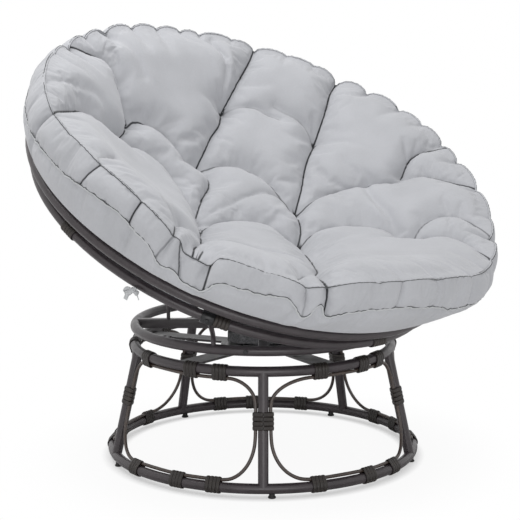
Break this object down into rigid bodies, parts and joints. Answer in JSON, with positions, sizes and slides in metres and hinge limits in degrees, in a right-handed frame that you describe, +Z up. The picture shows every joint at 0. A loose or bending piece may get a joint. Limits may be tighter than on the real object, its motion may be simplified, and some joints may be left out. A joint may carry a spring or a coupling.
{
  "type": "papasan chair",
  "caption": "Papasan chair: a round tufted cushion in a tilted bowl of steel tube, on a cane-bound ring base that swivels.",
  "frame": {"origin": "on the floor under the middle of the chair's box", "axes": "+Z up, the sitter faces -Y, and +X is at the sitter's left hand"},
  "size_m": [1.0712, 0.969, 0.9312],
  "materials": {
    "dark_enamel": "dark brown-black satin enamel with faint streaks, worn brown on the thin rods",
    "cane_binding": "woven synthetic cane, dark brown, low sheen",
    "zinc_plate": "bright zinc plating",
    "black_steel": "semi-gloss black",
    "foot_rubber": "matt black",
    "cushion_cloth": "light grey plain-woven cloth, sewn tufts and seams"
  },
  "bodies": {
    "base": {"base_bottom_ring": "dark_enamel", "base_top_ring": "dark_enamel", "base_leg_1": "dark_enamel", "base_leg_2": "dark_enamel", "base_leg_3": "dark_enamel", "base_leg_4": "dark_enamel", "base_leg_5": "dark_enamel", "base_foot_1": "foot_rubber", "base_foot_2": "foot_rubber", "base_foot_3": "foot_rubber", "base_foot_4": "foot_rubber", "base_foot_5": "foot_rubber", "base_rod_loop_1": "dark_enamel", "base_rod_loop_2": "dark_enamel", "base_rod_loop_3": "dark_enamel", "base_rod_loop_4": "dark_enamel", "base_rod_loop_5": "dark_enamel", "base_leg_winding_1": "cane_binding", "base_leg_winding_2": "cane_binding", "base_leg_winding_3": "cane_binding", "base_leg_winding_4": "cane_binding", "base_leg_winding_5": "cane_binding", "base_swivel_arms": "dark_enamel", "swivel_lower_plate": "zinc_plate", "swivel_ball_ring": "zinc_plate", "swivel_bolt_1": "black_steel", "swivel_bolt_2": "black_steel", "swivel_bolt_3": "black_steel", "swivel_bolt_4": "black_steel"},
    "seat": {"swivel_upper_plate": "zinc_plate", "seat_cross_tubes": "dark_enamel", "seat_ring": "dark_enamel", "seat_ring_bolt_left": "black_steel", "seat_ring_bolt_right": "black_steel", "bowl_rim": "dark_enamel", "bowl_middle_hoop": "dark_enamel", "bowl_bottom_hoop": "dark_enamel", "bowl_rib_1": "dark_enamel", "bowl_rib_2": "dark_enamel", "bowl_rib_3": "dark_enamel", "bowl_rib_4": "dark_enamel", "bowl_rib_5": "dark_enamel", "bowl_rib_6": "dark_enamel", "bowl_rib_7": "dark_enamel", "bowl_rib_8": "dark_enamel", "strut_clamp_left": "black_steel", "strut_clamp_right": "black_steel", "bowl_strut_left": "black_steel", "bowl_strut_right": "black_steel", "bowl_post_left": "black_steel", "bowl_post_right": "black_steel", "cushion": "cushion_cloth", "cushion_tie_1": "cushion_cloth", "cushion_tie_2": "cushion_cloth", "cushion_tie_3": "cushion_cloth", "cushion_tie_4": "cushion_cloth"}
  },
  "joints": [
    {"name": "seat_swivel", "type": "hinge", "parent": "base", "child": "seat", "pos_m": [-0.02603, 0.00096, 0.262], "axis": [0, 0, 1], "continuous": true}
  ]
}
